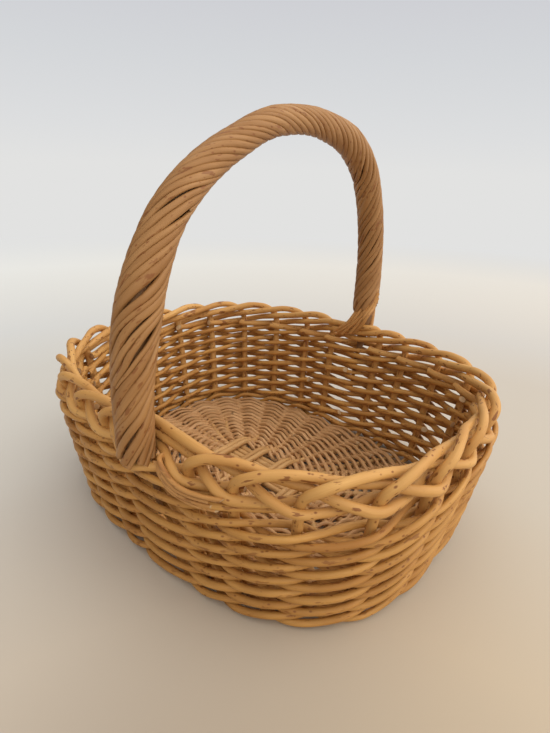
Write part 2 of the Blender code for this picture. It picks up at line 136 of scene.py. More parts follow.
links(
    tree,
    (place.outputs["Position"], away.inputs[0]),
    (place.outputs["Position"], offset.inputs[0]),
    (offset.outputs[0], sideways.inputs[0]),
    (sideways.outputs["Value"], swing.inputs[0]),
    (away.outputs["Value"], swing.inputs[1]),
    (swing.outputs[0], warm.inputs[0]),
    (away.outputs["Value"], reach.inputs[0]),
    (reach.outputs[0], cool_side.inputs[0]),
    (reach.outputs[0], warm_side.inputs[0]),
    (warm.outputs[0], side_mix.inputs["Factor"]),
    (cool_side.outputs[0], side_mix.inputs[6]),
    (warm_side.outputs[0], side_mix.inputs[7]),
)


def linear(red, green, blue):
    """A colour as a screen shows it, 0 to 255, in the values that a material uses."""
    shares = [value / 255 for value in (red, green, blue)]
    return tuple(s / 12.92 if s <= 0.04045 else ((s + 0.055) / 1.055) ** 2.4 for s in shares)


def set_ramp(node, stops):
    ramp = node.color_ramp
    while len(ramp.elements) < len(stops):
        ramp.elements.new(0.5)
    for element, (place_on_ramp, colour) in zip(ramp.elements, stops):
        element.position = place_on_ramp
        element.color = (*colour, 1)


# Painted light and shade: the table is painted darker near the spot beneath the viewpoint and
# lighter further off, up to the backdrop's white. The side away from the window, where the basket's
# shadow falls, is painted lighter and greyer than the window's side. The pale warm tone is the
# table's own.
set_ramp(cool_side, (
    (0.00, linear(169, 157, 144)),
    (0.05, linear(192, 182, 170)),
    (0.15, linear(203, 200, 196)),
    (0.30, linear(196, 196, 195)),
    (0.40, linear(200, 203, 207)),
    (0.70, linear(224, 226, 226)),
    (1.00, linear(226, 226, 225)),
))
set_ramp(warm_side, (
    (0.00, linear(177, 163, 145)),
    (0.05, linear(191, 177, 158)),
    (0.15, linear(191, 184, 174)),
    (0.30, linear(190, 184, 177)),
    (0.40, linear(194, 192, 191)),
    (0.70, linear(220, 217, 212)),
    (1.00, linear(226, 226, 225)),
))
glow = new_node(tree, "Emission", in_1=1.0)
fade = new_node(tree, "MapRange", interpolation_type="SMOOTHSTEP")
fade.inputs[1].default_value = SHADOW_UP_TO
fade.inputs[2].default_value = OWN_LIGHT_FROM
both = new_node(tree, "MixShader")
links(
    tree,
    (side_mix.outputs[2], surface.inputs["Base Color"]),
    (side_mix.outputs[2], glow.inputs[0]),
    (away.outputs["Value"], fade.inputs[0]),
    (fade.outputs[0], both.inputs[0]),
    (surface.outputs[0], both.inputs[1]),
    (glow.outputs[0], both.inputs[2]),
    (both.outputs[0], output.inputs["Surface"]),
)
floor_mesh.materials.append(floor_material)

world = bpy.data.worlds.new("room")
bpy.context.scene.world = world
world.use_nodes = True
tree = world.node_tree
background = tree.nodes["Background"]
seen = new_node(tree, "LightPath")
direction = new_node(tree, "TexCoord")
height = new_node(tree, "SeparateXYZ")
sky = new_node(tree, "ValToRGB")
set_ramp(sky, (
    (0.00, linear(226, 226, 225)),
    (0.06, linear(221, 222, 223)),
    (0.18, linear(212, 214, 217)),
    (0.27, linear(206, 207, 212)),
    (0.60, linear(190, 192, 198)),
))
# A wide window high on the right lights the room, so the light is warm and strong from there, and
# dim and cool from the left
ROOM_DIM = (0.13, 0.135, 0.145, 1)
ROOM_BRIGHT = (1.60, 1.52, 1.38, 1)
level_forward = Vector((math.cos(VIEW_TURN), math.sin(VIEW_TURN), 0))
towards_window = 0.85 * level_right - 0.25 * level_forward + Vector((0, 0, 1))
facing_window = new_node(tree, "VectorMath", operation="DOT_PRODUCT")
facing_window.inputs[1].default_value = towards_window.normalized()
window_share = new_node(tree, "MapRange", interpolation_type="SMOOTHSTEP", in_1=-0.5, in_2=1.0)
room_tone = new_node(tree, "Mix", data_type="RGBA")
room_tone.inputs[6].default_value = ROOM_DIM
room_tone.inputs[7].default_value = ROOM_BRIGHT
room_light = new_node(tree, "Mix", data_type="RGBA")
links(
    tree,
    (direction.outputs["Generated"], height.inputs[0]),
    (height.outputs["Z"], sky.inputs[0]),
    (sky.outputs[0], room_light.inputs[7]),
    (direction.outputs["Generated"], facing_window.inputs[0]),
    (facing_window.outputs["Value"], window_share.inputs[0]),
    (window_share.outputs[0], room_tone.inputs["Factor"]),
    (room_tone.outputs[2], room_light.inputs[6]),
    (seen.outputs["Is Camera Ray"], room_light.inputs["Factor"]),
    (room_light.outputs[2], background.inputs["Color"]),
)

# The window itself, a wide soft lamp turned to the basket
WINDOW_PLACE = Vector((1.15, 0.70, 1.30))
BASKET_MIDDLE = Vector((0, 0, 0.12))
window_data = bpy.data.lights.new("window", "AREA")
window_data.shape = "DISK"
window_data.size = 1.6
window_data.energy = 7
window_data.color = (1.0, 0.93, 0.84)
window = bpy.data.objects.new("window", window_data)
bpy.context.scene.collection.objects.link(window)
window.location = WINDOW_PLACE
window.rotation_euler = (BASKET_MIDDLE - WINDOW_PLACE).to_track_quat("-Z", "Y").to_euler()


# Base sticks: six willow rods along the oval, and eight across it that lie over them at the middle.
# They are opened out like a fan towards the edge, and the weaving alone holds them.

MM = 0.001
STICK_HEIGHT = 5.7 * MM
STICK_TIP, LONG_STICK, SHORT_STICK = 1.9 * MM, 2.9 * MM, 2.8 * MM
LONG_ROWS = (-15.5, -9.2, -3, 3.2, 9.4, 15.8)
LONG_GROUPS = ((0, 1), (2,), (3,), (4, 5))
SHORT_ROWS = (-53, -47, -24, -18, 8, 14, 41, 47)
SHORT_GROUPS = ((0, 1), (2,), (3, 4), (5,), (6, 7))
LONG_CROSSING, LONG_SPREAD, LONG_FAN = 50 * MM, 68 * MM, 1.15
SHORT_CROSSING, SHORT_SPREAD, OVER_LONG_STICKS = 21 * MM, 37 * MM, 5.2 * MM
SLATH_MIDDLE = np.array((1, 2)) * MM
SLATH_REACH = np.array((62, 27)) * MM
EDGE_REACH = np.array((161, 126)) * MM
OVAL_POWER = 2.75
SPOKES = 28
STICK_END = 0.99
chance = np.random.default_rng(11)


def unit_oval(angle):
    """Points on the basket's oval, drawn with a half length and half width of one."""
    return np.stack([
        np.sign(part) * np.abs(part) ** (2 / OVAL_POWER) for part in (np.cos(angle), np.sin(angle))
    ], -1)


def oval_point(angle, share):
    """Points on ovals between the crossed sticks, share 0, and the base's edge, share 1."""
    unit = unit_oval(angle)
    share = np.asarray(share)[..., None]
    inner = SLATH_MIDDLE + unit * SLATH_REACH
    return inner + (unit * EDGE_REACH - inner) * share


def run_along(line):
    """How far along a line each of its points lies."""
    return np.concatenate([[0], np.cumsum(np.linalg.norm(np.diff(line, axis=0), axis=1))])


# The spokes, which the sticks' ends are, part the base's edge into equal lengths
oval_angles = np.linspace(0, math.tau, 1441)
edge_run = run_along(oval_point(oval_angles, 1.0))
spoke_angles = np.interp((np.arange(SPOKES) + 0.5) / SPOKES * edge_run[-1], edge_run, oval_angles)


def even_run(line, mark, step, carried):
    """The line in even steps, with the values that its marked points carry."""
    run = run_along(line)
    even = np.linspace(0, run[-1], max(3, round(run[-1] / step) + 1))
    smooth = np.stack([np.interp(even, run, line[:, axis]) for axis in range(3)], 1)
    place_on_run = np.interp(even, run, mark)
    spread = [np.interp(place_on_run, np.arange(len(values)), values) for values in carried]
    return (smooth, *spread) if spread else smooth


def between(place, low, high, start, stop):
    return (high - place) / (high - low) * start + (place - low) / (high - low) * stop


SPLITS = 12


def smooth_run(points, step, *carried):
    """The points as one smooth line in even steps. Values carried along are spread with it."""
    ends = (2 * points[0] - points[1], 2 * points[-1] - points[-2])
    rows = np.vstack([ends[0], points, ends[1]])
    knots = np.concatenate([[0], np.cumsum(np.linalg.norm(np.diff(rows, axis=0), axis=1) ** 0.5)])
    lines, marks = [], []
    for first in range(len(points) - 1):
        p, k = rows[first:first + 4], knots[first:first + 4]
        t = np.linspace(k[1], k[2], SPLITS + 1)[:, None][:-1]
        a = [between(t, k[i], k[i + 1], p[i], p[i + 1]) for i in range(3)]
        b = [between(t, k[i], k[i + 2], a[i], a[i + 1]) for i in range(2)]
        lines.append(between(t, k[1], k[2], b[0], b[1]))
        marks.append(first + np.linspace(0, 1, SPLITS + 1)[:-1])
    line = np.vstack(lines + [points[-1:]])
    return even_run(line, np.concatenate(marks + [[len(points) - 1.0]]), step, carried)


# How a grown rod departs from an even one: shares of its half thickness, and the lengths over which
# they come and go. A bud's spread round the rod is in radians.
WAVER = ((0.020, 9 * MM), (0.016, 3.7 * MM))
OVAL_SHARE, OVAL_LENGTH = 0.04, 40 * MM
BUD_LENGTH, BUD_SPREAD, BUD_RISE, LARGEST_BUD_ROD = 1.7 * MM, 0.75, 0.16, 3 * MM
PRESSED_CORNERS = 0.75
CUT_RINGS, CUT_EDGE, CUT_BULGE = 3, 0.9, 0.05


def rod_skin(points, radii, sides, slants=(0, 0), buds_apart=42 * MM, outward=None, depth=None):
    """One rod's closed surface: rings of points with a wavering thickness, buds, and cut ends.

    A rod pressed flat has the direction outward at each point, and its half depth that way. Gives
    the vertices, the faces and the marks that the willow materials read at each vertex.
    """
    count = len(points)
    run = run_along(points)
    along = np.gradient(points, axis=0)
    along /= np.linalg.norm(along, axis=1)[:, None]
    side = np.empty_like(points)
    first = np.cross(along[0], (0.3, 0.2, 1.0))
    side[0] = first / np.linalg.norm(first)
    for i in range(1, count):
        turned = side[i - 1] - along[i] * (side[i - 1] @ along[i])
        side[i] = turned / math.sqrt(turned @ turned)
    over = np.cross(along, side)
    squash = np.ones(count)
    if outward is not None:
        side = np.cross(outward, along)
        side /= np.linalg.norm(side, axis=1)[:, None]
        over = np.cross(along, side)
        squash = depth / radii
    turn = math.tau * np.arange(sides) / sides
    phase = chance.uniform(0, math.tau, 5)
    waver = sum(share * np.sin(run / length + at) for (share, length), at in zip(WAVER, phase))
    oval = OVAL_SHARE * np.cos(2 * turn[None, :] + phase[2] + run[:, None] / OVAL_LENGTH)
    thickness = radii[:, None] * (1 + waver[:, None] + oval)
    bud = np.zeros((count, sides))
    if buds_apart:
        at = chance.uniform(0, buds_apart)
        while at < run[-1]:
            facing = chance.uniform(0, math.tau)
            size = chance.uniform(0.35, 1.0)
            apart = (turn - facing + math.pi) % math.tau - math.pi
            near = np.exp(-((run - at) / BUD_LENGTH) ** 2)
            spot = near[:, None] * np.exp(-(apart / BUD_SPREAD) ** 2)[None, :]
            bud = np.maximum(bud, spot * size)
            at += buds_apart * chance.uniform(0.5, 1.5)
    thickness = thickness + bud * np.minimum(radii, LARGEST_BUD_ROD)[:, None] * BUD_RISE
    cosine, sine = np.cos(turn), np.sin(turn)
    if outward is not None:
        cosine = np.sign(cosine) * np.abs(cosine) ** PRESSED_CORNERS
        sine = np.sign(sine) * np.abs(sine) ** PRESSED_CORNERS
    pressed = (sine[None, :] * squash[:, None])[..., None]
    around = side[:, None, :] * cosine[None, :, None] + over[:, None, :] * pressed
    rings = points[:, None, :] + around * thickness[:, :, None]
    for end, slant in zip((0, count - 1), slants):
        lean = slant * np.cos(turn - phase[3])
        for near in range(CUT_RINGS):
            i = end + near if end == 0 else end - near
            rings[i] += along[end] * (lean * radii[end] * (1 - near / CUT_RINGS))[:, None]
    start_ring = points[0] + (rings[0] - points[0]) * CUT_EDGE - along[0] * radii[0] * CUT_BULGE
    stop_ring = points[-1] + (rings[-1] - points[-1]) * CUT_EDGE + along[-1] * radii[-1] * CUT_BULGE
    vertices = np.vstack([start_ring, rings.reshape(-1, 3), stop_ring])
    ring_count = count + 2
    corner = np.arange(sides)
    after = (corner + 1) % sides
    base = np.arange(ring_count - 1)[:, None] * sides
    above = base + sides
    quads = np.stack([base + corner, base + after, above + after, above + corner], -1)
    caps = [list(range(sides))[::-1], list(range((ring_count - 1) * sides, ring_count * sides))]
    shift = chance.uniform(0, 10, 3)
    ring_place = np.concatenate([[0], run, [run[-1]]])
    rod_place = np.empty((ring_count, sides, 3))
    rod_place[..., 0] = cosine[None, :] * radii.mean() + shift[0]
    rod_place[..., 1] = sine[None, :] * radii.mean() + shift[1]
    rod_place[..., 2] = ring_place[:, None] + shift[2]
    cut = np.zeros((ring_count, sides))
    cut[0] = cut[-1] = 1
    mark = np.vstack([np.zeros(sides), bud, np.zeros(sides)])
    tone = chance.uniform(0, 1)
    return {
        "vertices": vertices,
        "quads": quads.reshape(-1, 4),
        "caps": caps,
        "rod_place": rod_place.reshape(-1, 3),
        "rod_tint": np.full(len(vertices), tone),
        "rod_cut": cut.ravel(),
        "rod_bud": mark.ravel(),
    }


def rod_piece(name, skins, material, nodes=()):
    """One piece of the basket from its rods' skins. It rides on the frame in place of the nodes."""
    vertices, faces, first = [], [], 0
    for skin in skins:
        vertices.append(skin["vertices"])
        faces += (skin["quads"] + first).tolist()
        faces += [[corner + first for corner in cap] for cap in skin["caps"]]
        first += len(skin["vertices"])
    mesh = bpy.data.meshes.new(name)
    mesh.from_pydata(np.vstack(vertices).tolist(), [], faces)
    for label in ("rod_tint", "rod_cut", "rod_bud", "rod_place"):
        values = np.concatenate([skin[label] for skin in skins]).astype(np.float32)
        kind, field = ("FLOAT", "value") if values.ndim == 1 else ("FLOAT_VECTOR", "vector")
        mesh.attributes.new(label, kind, "POINT").data.foreach_set(field, values.ravel())
    mesh.materials.append(material)
    mesh.shade_smooth()
    mesh.set_sharp_from_angle(angle=math.radians(48))
    piece = bpy.data.objects.new(name, mesh)
    bpy.context.scene.collection.objects.link(piece)
    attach(piece, "root")
    if nodes:
        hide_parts(*nodes)


# The willow of every rod, peeled and boiled: fine grain along the rod, cloudy tone, brown stains,
# dark pin specks, brown buds and pale cut ends. Each finish of the basket uses this one group.

willow = bpy.data.node_groups.new("willow", "ShaderNodeTree")
for name, kind, value in (
    ("Pale", "Color", (0.6, 0.4, 0.2, 1)),
    ("Deep", "Color", (0.4, 0.22, 0.09, 1)),
    ("Stain", "Color", (0.20, 0.062, 0.012, 1)),
    ("Heartwood", "Color", (0.52, 0.35, 0.19, 1)),
    ("Staining", "Float", 0.3),
    ("Specks", "Float", 0.5),
):
    socket = willow.interface.new_socket(name, in_out="INPUT", socket_type="NodeSocket" + kind)
    socket.default_value = value
for name, kind in (("Colour", "Color"), ("Roughness", "Float"), ("Height", "Float")):
    willow.interface.new_socket(name, in_out="OUTPUT", socket_type="NodeSocket" + kind)
given = willow.nodes.new("NodeGroupInput")
result = willow.nodes.new("NodeGroupOutput")


def read(label):
    node = willow.nodes.new("ShaderNodeAttribute")
    node.attribute_name = label
    return node


def feed(sockets, values):
    """Plain values are set on their sockets, and what other nodes put out is linked to them."""
    for socket, value in zip(sockets, values):
        if isinstance(value, (int, float, tuple)):
            socket.default_value = value
        else:
            links(willow, (value, socket))


def stretched_noise(across, lengthwise, detail, roughness=0.5):
    """Noise on the rod as if it were straight, with so many marks a metre across and along it."""
    scaled = new_node(willow, "VectorMath", operation="MULTIPLY")
    scaled.inputs[1].default_value = (across, across, lengthwise)
    noise = new_node(willow, "TexNoise")
    noise.inputs["Scale"].default_value = 1
    noise.inputs["Detail"].default_value = detail
    noise.inputs["Roughness"].default_value = roughness
    links(
        willow,
        (rod_place.outputs["Vector"], scaled.inputs[0]),
        (scaled.outputs[0], noise.inputs["Vector"]),
    )
    return noise.outputs[0]


def ranged(value, low, high, to_low=0.0, to_high=1.0):
    node = new_node(willow, "MapRange")
    feed(node.inputs, (value, low, high, to_low, to_high))
    return node.outputs[0]


def calc(operation, first, second):
    node = new_node(willow, "Math", operation=operation)
    feed(node.inputs, (first, second))
    return node.outputs[0]


def blended(factor, first, second):
    node = new_node(willow, "Mix", data_type="RGBA")
    feed((node.inputs["Factor"], node.inputs[6], node.inputs[7]), (factor, first, second))
    return node.outputs[2]


rod_place, rod_tint, rod_cut, rod_bud = map(read, ("rod_place", "rod_tint", "rod_cut", "rod_bud"))
grain = stretched_noise(1500, 70, 3, 0.6)
cloud = stretched_noise(90, 28, 2)
patch = stretched_noise(230, 75, 3, 0.55)
streak = stretched_noise(500, 14, 2)
speck_cells = new_node(willow, "TexVoronoi")
speck_cells.inputs["Scale"].default_value = 1
speck_scale = new_node(willow, "VectorMath", operation="MULTIPLY")
speck_scale.inputs[1].default_value = (300, 300, 190)
speck_kind = new_node(willow, "SeparateColor")
links(
    willow,
    (rod_place.outputs["Vector"], speck_scale.inputs[0]),
    (speck_scale.outputs[0], speck_cells.inputs["Vector"]),
    (speck_cells.outputs["Color"], speck_kind.inputs[0]),
)

# Each rod has a tone of its own, and clouds of a deeper one. Then come the marks, each where its
# noise passes the two values given.
OWN_TONE, CLOUD_TONE = 0.45, 0.55
own_tone = calc("MULTIPLY", rod_tint.outputs["Fac"], OWN_TONE)
tone = calc("ADD", own_tone, calc("MULTIPLY", ranged(cloud, 0.3, 0.7), CLOUD_TONE))
body = blended(tone, given.outputs["Pale"], given.outputs["Deep"])
grained = blended(ranged(grain, 0.35, 0.75, 0.0, 0.30), body, given.outputs["Deep"])
streaked = blended(ranged(streak, 0.55, 0.75, 0.0, 0.35), grained, given.outputs["Deep"])
stain_place = calc("MULTIPLY", ranged(patch, 0.61, 0.65), given.outputs["Staining"])
stained = blended(stain_place, streaked, given.outputs["Stain"])
bud_place = ranged(rod_bud.outputs["Fac"], 0.35, 0.9, 0.0, 0.75)
budded = blended(bud_place, stained, given.outputs["Stain"])
speck_spot = ranged(speck_cells.outputs["Distance"], 0.26, 0.12)
speck_picked = ranged(speck_kind.outputs["Red"], 0.60, 0.66)
speck_dot = calc("MULTIPLY", speck_spot, speck_picked)
speck_place = calc("MULTIPLY", speck_dot, given.outputs["Specks"])
specked = blended(speck_place, budded, given.outputs["Stain"])
finished = blended(ranged(rod_cut.outputs["Fac"], 0.4, 0.7), specked, given.outputs["Heartwood"])
gloss = ranged(cloud, 0.3, 0.7, 0.50, 0.64)
relief = calc("ADD", calc("MULTIPLY", grain, 0.5), calc("MULTIPLY", rod_bud.outputs["Fac"], 0.4))
relief = calc("SUBTRACT", relief, calc("MULTIPLY", speck_place, 0.5))
links(
    willow,
    (finished, result.inputs["Colour"]),
    (gloss, result.inputs["Roughness"]),
    (relief, result.inputs["Height"]),
)
GRAIN_DEPTH, GRAIN_STRENGTH = 0.25 * MM, 0.8


def willow_finish(name, pale, deep, staining=0.3, specks=0.5):
    """A willow material of the named finish, in the two colours that its rods run between."""
    material = bpy.data.materials.new(name)
    material.use_nodes = True
    tree = material.node_tree
    surface = tree.nodes["Principled BSDF"]
    surface.inputs["Specular IOR Level"].default_value = 0.4
    look = tree.nodes.new("ShaderNodeGroup")
    look.node_tree = willow
    look.inputs["Pale"].default_value = (*pale, 1)
    look.inputs["Deep"].default_value = (*deep, 1)
    look.inputs["Staining"].default_value = staining
    look.inputs["Specks"].default_value = specks
    bump = new_node(tree, "Bump")
    bump.inputs["Distance"].default_value = GRAIN_DEPTH
    bump.inputs["Strength"].default_value = GRAIN_STRENGTH
    links(
        tree,
        (look.outputs["Colour"], surface.inputs["Base Color"]),
        (look.outputs["Roughness"], surface.inputs["Roughness"]),
        (look.outputs["Height"], bump.inputs["Height"]),
        (bump.outputs[0], surface.inputs["Normal"]),
    )
    return material


stick_finish = willow_finish("base stick willow", (0.60, 0.36, 0.15), (0.44, 0.235, 0.085))


def spoke_end(spoke):
    return np.append(oval_point(spoke_angles[spoke % SPOKES], STICK_END), STICK_HEIGHT)


def stick_skin(points, thickest):
    """A base stick through these points, thickest between its two tips."""
    halves = (STICK_TIP, *[thickest] * (len(points) - 2), STICK_TIP)
    line, radii = smooth_run(np.array(points), 4 * MM, halves)
    return rod_skin(line, radii, 10)


# Spokes are counted round the base from +X, and a stick is one of them at each of its ends
FIRST_LONG_SPOKES = SPOKES // 2 + 2, SPOKES - 3
FIRST_SHORT_SPOKES = SPOKES // 2 + 3, 10
stick_skins = {"long": [], "short": []}
for row, y in enumerate(LONG_ROWS):
    stick_skins["long"].append(stick_skin([
        spoke_end(FIRST_LONG_SPOKES[0] - row),
        (-LONG_SPREAD, y * MM * LONG_FAN, STICK_HEIGHT),
        (-LONG_CROSSING, y * MM, STICK_HEIGHT),
        (LONG_CROSSING, y * MM, STICK_HEIGHT),
        (LONG_SPREAD, y * MM * LONG_FAN, STICK_HEIGHT),
        spoke_end(FIRST_LONG_SPOKES[1] + row),
    ], LONG_STICK))
for column, x in enumerate(SHORT_ROWS):
    stick_skins["short"].append(stick_skin([
        spoke_end(FIRST_SHORT_SPOKES[0] + column),
        (x * MM, -SHORT_SPREAD, STICK_HEIGHT),
        (x * MM, -SHORT_CROSSING, STICK_HEIGHT + OVER_LONG_STICKS),
        (x * MM, 0, STICK_HEIGHT + OVER_LONG_STICKS),
        (x * MM, SHORT_CROSSING, STICK_HEIGHT + OVER_LONG_STICKS),
        (x * MM, SHORT_SPREAD, STICK_HEIGHT),
        spoke_end(FIRST_SHORT_SPOKES[1] - column),
    ], SHORT_STICK))
for kind, groups in (("long", LONG_GROUPS), ("short", SHORT_GROUPS)):
    for number, members in enumerate(groups, 1):
        rods = [stick_skins[kind][member] for member in members]
        name, node = f"{kind}_base_stick_{number}", f"base_stick_{kind}_{number}"
        rod_piece(name, rods, stick_finish, [node])


# Base weave: slim willow rods, paired round the sticks from the middle to the edge. Each goes over
# one stick and under the next while its partner does the reverse, and a new one follows at its end.

WEAVE_ROD = 2.12 * MM
ROWS, FIRST_ROW, ROWS_REACH = 14, -0.04, 1.075
STEPS_PER_SPOKE = 12
WEAVE_RISE = 3.75 * MM
ROOF_SHARE, WAVE_SHARE, PRESSED_TOP = 0.72, 0.28, 1.12
WANDER = 0.5 * MM
SHORTEST_ROD, LONGEST_ROD, SHORTEST_LAST_ROD = 220, 420, 60  # in steps
weave_finish = willow_finish(
    "base weave willow", (0.62, 0.37, 0.18), (0.43, 0.225, 0.09), staining=0.2, specks=0.4
)

weave_skins = []
count = np.arange(ROWS * SPOKES * STEPS_PER_SPOKE + 1) / STEPS_PER_SPOKE
spoke_run = np.append(spoke_angles, spoke_angles[0] + math.tau)
angle = np.interp(count % SPOKES, np.arange(SPOKES + 1), spoke_run)
share = FIRST_ROW + ROWS_REACH * count / count[-1]
span = np.linalg.norm(oval_point(angle, 1.0) - oval_point(angle, 0.0), axis=1)
for partner in (0, 1):
    swing = count + partner
    roof = 1 - 2 * np.abs((swing + 1) % 2 - 1)
    rise = ROOF_SHARE * roof + WAVE_SHARE * np.cos(math.pi * swing)
    height = STICK_HEIGHT + WEAVE_RISE * np.clip(PRESSED_TOP * rise, -1, 1)
    outward = WEAVE_ROD * np.sin(math.pi * swing)
    waver = WANDER * np.sin(count * 0.9 + 2 * partner) * np.sin(count * 0.13)
    strand = np.column_stack([oval_point(angle, share + (outward + waver) / span), height])
    at = 0
    while at < len(strand):
        stop = min(len(strand), at + int(chance.uniform(SHORTEST_ROD, LONGEST_ROD)))
        if len(strand) - stop < SHORTEST_LAST_ROD:
            stop = len(strand)
        piece = strand[at:stop]
        tip = np.linspace(1.08, 0.86, len(piece)) * chance.uniform(0.92, 1.06)
        weave_skins.append(rod_skin(piece, WEAVE_ROD * tip, 7, (0.5, 0.5), 0))
        at = stop
weave_nodes = ["base_weave_over", "base_weave_under"]
rod_piece("base_weave", weave_skins, weave_finish, weave_nodes)


# Stakes and border: each stake is one stout willow rod, pushed into the base beside a stick, kinked
# up through the wall, and laid down at the top behind the next two stakes, in front of one, and in.
# Its cut end lies against the inside of the wall.

STAKES = 26
WALL_TOP = 109 * MM
stake_finish = willow_finish(
    "stake and border willow", (0.67, 0.385, 0.125), (0.46, 0.215, 0.055), staining=0.85, specks=0.9
)
SAME_PLANE = 0.99999
MOST_END_TRIANGLES = 6


def frame_rod(node, towards):
    """The middle line and half thickness of a frame's rod, from its end that lies this way.

    Its flat end face gives the first ring of corners, and the corners joined to a ring the next.
    """
    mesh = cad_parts[node].data
    corners = np.array([vertex.co for vertex in mesh.vertices])
    rounded = np.round(corners, 6)
    _, first, merged = np.unique(rounded, axis=0, return_index=True, return_inverse=True)
    corners, merged = corners[first], merged.ravel()
    mesh.calc_loop_triangles()
    triangles = [tuple(merged[list(triangle.vertices)]) for triangle in mesh.loop_triangles]
    triangles = [t for t in triangles if len(set(t)) == 3]
    near = [set() for _ in corners]
    sharing = {}
    facing = []
    for number, (a, b, c) in enumerate(triangles):
        for one, other in ((a, b), (b, c), (c, a)):
            near[one].add(other)
            near[other].add(one)
            sharing.setdefault(frozenset((one, other)), []).append(number)
        normal = np.cross(corners[b] - corners[a], corners[c] - corners[a])
        facing.append(normal / np.linalg.norm(normal))
    for start in range(len(triangles)):
        flat, queue = {start}, [start]
        while queue and len(flat) < MOST_END_TRIANGLES:
            a, b, c = triangles[queue.pop()]
            for edge in (frozenset((a, b)), frozenset((b, c)), frozenset((c, a))):
                for other in sharing[edge]:
                    if other not in flat and facing[other] @ facing[start] > SAME_PLANE:
                        flat.add(other)
                        queue.append(other)
        ring = {corner for number in flat for corner in triangles[number]}
        if len(ring) != len(flat) + 2 or len(ring) < 4:
            continue
        rings, done = [ring], set(ring)
        while True:
            after = {other for corner in rings[-1] for other in near[corner]} - done
            if len(after) != len(ring):
                break
            rings.append(after)
            done |= after
        if len(done) == len(corners) and not after:
            break
    else:
        raise ValueError(f"{node} isn't a rod")
    rings = [corners[list(ring)] for ring in rings]
    middles = np.array([ring.mean(0) for ring in rings])
    halves = np.array([
        np.median(np.linalg.norm(ring - middle, axis=1)) for ring, middle in zip(rings, middles)
    ])
    if (middles[0] - middles[-1]) @ np.array(towards) < 0:
        middles, halves = middles[::-1], halves[::-1]
    return middles, halves


def bent_run(points, bend, step, *carried):
    """The points as straight lengths with small rounded bends between them, in even steps."""
    line, marks = [points[0]], [0.0]
    for i in range(1, len(points) - 1):
        back, on = points[i - 1] - points[i], points[i + 1] - points[i]
        back_length, on_length = np.linalg.norm(back), np.linalg.norm(on)
        reach = min(bend, 0.49 * back_length, 0.49 * on_length)
        start, stop = points[i] + back / back_length * reach, points[i] + on / on_length * reach
        for t in np.linspace(0, 1, 7):
            line.append((1 - t) ** 2 * start + 2 * t * (1 - t) * points[i] + t * t * stop)
            marks.append(i + (2 * t - 1) * reach / (back_length if t < 0.5 else on_length))
    marks = np.array(marks + [len(points) - 1.0])
    return even_run(np.array(line + [points[-1]]), marks, step, carried)


# Half length and half width of the ring of stakes, at the base and at the border
BASE_HALF_MM = np.array((168, 133))
RIM_HALF_MM = np.array((186, 148.5))


def bearing(points):
    """The direction of points from the basket's middle, with its oval drawn out to a circle."""
    return np.arctan2(points[..., 1] / RIM_HALF_MM[1], points[..., 0] / RIM_HALF_MM[0])


def wall_end(middles):
    """The number of a stake's first point at the top of the wall."""
    return int(np.argmax(middles[:, 2] > WALL_TOP - 1 * MM))


DOWNWARD = (0, 0, -1)
stake_rods = [frame_rod(f"stake_{number:02d}", DOWNWARD) for number in range(1, STAKES + 1)]
first_round = np.unwrap([bearing(middles[wall_end(middles)]) for middles, halves in stake_rods])
two_rounds = np.concatenate([first_round, first_round + math.tau, first_round[:1] + 2 * math.tau])

# How many mm the border's runs are raised, after so many stakes passed, to lie as in the photograph
PASSED = (0, 0.4, 0.75, 1.1, 1.5, 1.75, 2.0, 2.5, 2.95, 3.5, 4.12)
RAISED = (0, 0.0, 0.80, 2.2, 2.6, 3.50, 3.5, 1.6, 0.00, 0.0, -1.0)

# Each foot is cut to a long thin point, at its first rings, so that it slips in beside a base stick
FOOT_SLIM = (0.35, 0.55, 0.85, 1)
BEHIND_ITSELF = 0.3
BORDER_BEND, STAKE_STEP = 9 * MM, 2.2 * MM

for number, (middles, halves) in enumerate(stake_rods, 1):
    own = first_round[number - 1]
    here = own + (bearing(middles) - own + BEHIND_ITSELF) % math.tau - BEHIND_ITSELF
    passed = np.interp(here, two_rounds, np.arange(len(two_rounds))) - (number - 1)
    border = np.arange(len(middles)) > wall_end(middles)
    middles[:, 2] += np.where(border, np.interp(passed, PASSED, RAISED), 0) * MM
    slim = np.interp(np.arange(len(middles)), np.arange(len(FOOT_SLIM)), FOOT_SLIM)
    middles[:, 2] -= halves * (1 - slim)
    line, radii = bent_run(middles, BORDER_BEND, STAKE_STEP, halves * slim)
    radii = radii * np.linspace(1.06, 0.98, len(radii)) * chance.uniform(0.96, 1.04)
    skin = rod_skin(line, radii, 14, (0.2, chance.uniform(0.2, 0.9)), 55 * MM)
    name, node = f"stake_and_border_{number:02d}", f"stake_{number:02d}"
    rod_piece(name, [skin], stake_finish, [node])


# Wall: three willow rods of wale worked round together, each outside two stakes and inside one, in
# eight rounds from the base to the border. A new rod lies in beside the cut end of the last.

wale_finish = willow_finish(
    "wale willow", (0.62, 0.33, 0.09), (0.37, 0.16, 0.034), staining=0.6, specks=0.8
)
WALE_STEP = 2.8 * MM
SHORTEST_WALE_ROD, LONGEST_WALE_ROD, SHORTEST_REST = 0.42, 0.70, 0.25
LAP, LAP_IN, LAP_DOWN = 15 * MM, 0.10, 0.16
TURN_POINTS = 12


def inner_turns(line):
    """The points of its line at which a rod passes the inside of a stake."""
    reach = (BASE_HALF_MM + (RIM_HALF_MM - BASE_HALF_MM) * line[:, 2:] / WALL_TOP) * MM
    level = (np.abs(line[:, :2] / reach) ** OVAL_POWER).sum(1)
    return [
        i for i in range(TURN_POINTS, len(line) - TURN_POINTS)
        if level[i] == level[i - TURN_POINTS:i + TURN_POINTS + 1].min()
    ]


def lap(end, before, run_on, drop):
    """The points by which a cut rod runs on past a stake, a little inward and up or down."""
    way = end - before
    inward = -np.append(end[:2], 0) / np.linalg.norm(end[:2])
    return end + way / np.linalg.norm(way) * run_on + (inward * LAP_IN - (0, 0, drop)) * run_on


